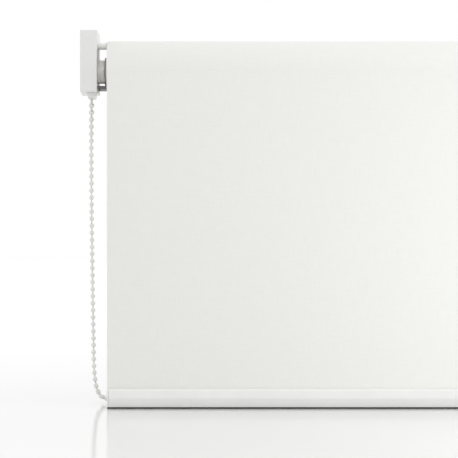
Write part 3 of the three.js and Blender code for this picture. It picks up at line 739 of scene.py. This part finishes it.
# ---- roller ----
def roller():
    start, end, bore = TUBE_START_X, IDLE_X - TUBE_START_X, TUBE_RADIUS - 1.2
    tube = [(start, bore), (start, TUBE_RADIUS), (end, TUBE_RADIUS), (end, bore)]
    stand_in(lathe("roller_tube_drawn", tube, LOOK["aluminium"], 0.15), "roller_tube", "roller")
    x0, x1, radius = COLLAR["x0"], COLLAR["x1"], COLLAR["radius"]
    rim = [(x0, radius), (x1, radius), (x1, PLUG_RADIUS)]
    drive = [(x0, PLUG_BORE), *rim, (40.4, PLUG_RADIUS), (40.4, 2.8), (38, 2.8), (38, PLUG_BORE)]
    stand_in(lathe("drive_plug_collar", drive, LOOK["collar"], 0.25), "drive_plug", "roller")
    idle = [(x0, 3.3), *rim, (36, PLUG_RADIUS), (36, 4.6), (16, 4.6), (16, 3.3)]
    idle_plug = flip_x(lathe("idle_plug_collar", idle, LOOK["collar"], 0.3))
    stand_in(idle_plug, "idle_plug", "roller")


def inner_works():
    """The pieces inside the covers and the tube."""
    for node in ("axle", "axle_clip", "clutch_core", "wrap_spring_inner", "wrap_spring_outer", "idle_pin",
                 "pin_spring", "hem_weight", "housing_screw_front", "housing_screw_rear"):
        refine(node, LOOK["steel"], 0.12)
    for node in ("clutch_housing", "chain_wheel"):
        refine(node, LOOK["pale"], 0.15)
    refine("idle_stop", LOOK["collar"], 0.15)
    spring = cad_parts["pin_spring"]
    apply_modifiers(spring)
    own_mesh(spring)
    refine("hem_keder", LOOK["thread"], 0.15)


# ---- cloth ----
def cloth_sheet(name, places, x0, x1, material):
    """A sheet of CLOTH thickness along places, which are (y, z) in millimetres; UVs are in metres."""
    points = [Vector(p) for p in places]
    bm = bmesh.new()
    uv = bm.loops.layers.uv.new("cloth")
    lengths = [0]
    for a, b in zip(points, points[1:]):
        lengths.append(lengths[-1] + (b - a).length)
    rows = []
    count = len(points)
    curl = 0.18
    offsets = [(x0, -0.5 + curl), (x0 + 0.12, -0.5), (x1 - 0.12, -0.5), (x1, -0.5 + curl),
               (x1, 0.5 - curl), (x1 - 0.12, 0.5), (x0 + 0.12, 0.5), (x0, 0.5 - curl)]
    for i in range(count):
        direction = (points[min(i + 1, count - 1)] - points[max(i - 1, 0)]).normalized()
        normal = Vector((-direction.y, direction.x))
        rows.append([bm.verts.new((x * MM, (points[i].x + normal.x * off * CLOTH) * MM,
                                   (points[i].y + normal.y * off * CLOTH) * MM)) for x, off in offsets])
    length_of = {v: lengths[i] for i, row in enumerate(rows) for v in row}
    sides = len(offsets)
    for a, b in zip(rows, rows[1:]):
        for k in range(sides):
            n = (k + 1) % sides
            bm.faces.new((a[k], a[n], b[n], b[k]))
    bm.faces.new(list(reversed(rows[0])))
    bm.faces.new(rows[-1])
    for face in bm.faces:
        for loop in face.loops:
            loop[uv].uv = (loop.vert.co.x, length_of[loop.vert] * MM)
    bmesh.ops.recalc_face_normals(bm, faces=bm.faces)
    return new_object(name, bm, material, 50), lengths[-1]


def cloth():
    outer = ROLL_RADIUS - CLOTH / 2
    inner = TUBE_RADIUS + 0.15 + CLOTH / 2
    turns = (outer - inner) / LAYER
    per_turn = 72
    steps = round(turns * per_turn)
    spiral = []
    for i in range(steps + 1):
        radius = outer - LAYER * i / per_turn
        angle = math.pi - 2 * math.pi * i / per_turn
        spiral.append((AXIS_Y + radius * math.cos(angle), AXIS_Z + radius * math.sin(angle)))
    end_x = IDLE_X - ROLL_START_X
    roll, length = cloth_sheet("wound_cloth", spiral, ROLL_START_X, end_x, LOOK["cloth"])
    stand_in(roll, "fabric_roll", "roller", has_flats=False)

    top_y, foot_z = AXIS_Y - outer, FLOOR_Z + KEDER_Z
    drop = AXIS_Z - foot_z
    hanging = []
    for i in range(49):
        part = i / 48
        hanging.append((top_y + (HEM_Y - top_y) * part, AXIS_Z - drop * part))
    end_x = IDLE_X - PANEL_START_X
    panel, _ = cloth_sheet("hanging_cloth", hanging, PANEL_START_X, end_x, LOOK["cloth"])
    for loop in panel.data.uv_layers[0].data:
        loop.uv.y = -loop.uv.y
    stand_in(panel, "fabric_panel", "root", has_flats=False)
    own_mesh(panel)


# ---- hem bar ----
def hem_outline(grooved):
    """The hem bar's section, slotted for the cloth; grooved adds the round groove for the keder."""
    half, foot = HEM_DEPTH / 2, HEM_FOOT / 2
    front = [(-half, HEM_HEIGHT, 1.1), (-half, 9, 3), (-foot, SHADOW_STRIP_HEIGHT, 0.4)]
    rear = [(foot, SHADOW_STRIP_HEIGHT, 0.4), (half, 9, 3), (half, HEM_HEIGHT, 1.1)]
    corners = front + rear
    gap = 0.62
    slot_end = [(gap, KEDER_Z - 0.4, 0.2), (-gap, KEDER_Z - 0.4, 0.2)]
    if grooved:
        angles = [math.radians(72 - 324 * k / 14) for k in range(15)]
        slot_end = [(KEDER_GROOVE * math.cos(angle), KEDER_Z + KEDER_GROOVE * math.sin(angle), 0)
                    for angle in angles]
    corners += [(gap, HEM_HEIGHT, 0.5), *slot_end, (-gap, HEM_HEIGHT, 0.5)]
    return [(HEM_Y + y, FLOOR_Z + z) for y, z in filleted(corners, 0, 5)]


def hem():
    x0 = PANEL_START_X + HEM_CAP
    x1 = IDLE_X - x0
    bar = prism("hem_bar_profile", hem_outline(True), x0 + 0.12, x1 - 0.12, LOOK["hem"], 0.08, 1, 28)
    stand_in(bar, "hem_bar", "hem")
    # a strip along the floor under the bar, coloured near-black as painted contact shadow
    top = SHADOW_STRIP_HEIGHT + 0.2
    seal_corners = [(-1.1, top), (-1.3, 0.4), (-1, 0.02), (1, 0.02), (1.3, 0.4), (1.1, top)]
    seal_outline = [(HEM_Y + y, FLOOR_Z + z) for y, z in filleted(seal_corners, 0.2)]
    seal = prism("hem_seal_strip", seal_outline, PANEL_START_X + 0.4, IDLE_X - PANEL_START_X - 0.4,
                 LOOK["seal"], 0.2, 2, 40)
    stand_in(seal, "hem_seal", "hem")
    stand_in(hem_cap("hem_end_cap_control", x0), "hem_cap_control", "hem")
    stand_in(flip_x(hem_cap("hem_end_cap_idle", x0)), "hem_cap_idle", "hem")


def hem_cap(name, end_x):
    return prism(name, hem_outline(False), PANEL_START_X, end_x, LOOK["cap"], 0.45, 4, 28)


# ---- floor and light ----
def floor():
    m = Nodes("floor", (0.88, 0.88, 0.88), 0.1, Specular_IOR_Level=0.8)
    place = m.place()
    m.bump(m.noise(place, 6, 1), 0.0004, 0.15)
    away = m.node("SeparateXYZ", {"Vector": place}).outputs["Y"]
    fade = {"Value": away, "From Min": 0.05, "From Max": 0.9, "To Min": 0.88, "To Max": 1.0}
    m.tree.links.new(m.node("MapRange", fade).outputs["Result"], m.shader.inputs["Base Color"])
    bm = bmesh.new()
    corners = [(-6, -3), (6, -3), (6, 7.5), (-6, 7.5)]
    bm.faces.new([bm.verts.new((x, y, FLOOR_Z * MM)) for x, y in corners])
    ground = new_object("floor", bm, m.material)


def area_light(name, place, target, size, power, spread=180):
    data = bpy.data.lights.new(name, "AREA")
    data.shape = "RECTANGLE"
    data.size, data.size_y = size
    data.energy = power
    data.spread = math.radians(spread)
    obj = bpy.data.objects.new(name, data)
    obj.location = place
    obj.rotation_euler = (Vector(target) - Vector(place)).to_track_quat("-Z", "Y").to_euler()
    obj.visible_camera = False
    obj.visible_glossy = False
    SCENE.collection.objects.link(obj)


def lights():
    world = bpy.data.worlds.new("studio")
    world.use_nodes = True
    sky = world.node_tree.nodes["Background"]
    sky.inputs["Color"].default_value = (1, 1, 1, 1)
    sky.inputs["Strength"].default_value = 1.0
    SCENE.world = world
    area_light("key", (0.5, -0.38, -0.15), (0.5, 0, -0.23), (0.3, 0.24), 0.26)
    area_light("side", (1.3, -0.2, 0.5), (0.0, 0, 0.0), (0.3, 0.5), 1.1)
    area_light("gap_fill", (0.0115, -0.164, 0.074), (0.0115, -0.038, -0.008), (0.004, 0.05), 0.00014, 2)
    SCENE.view_settings.view_transform = "Standard"


camera()
chain()
chain_over_wheel()
brackets()
lock_slide()
roller()
inner_works()
cloth()
hem()
floor()
lights()
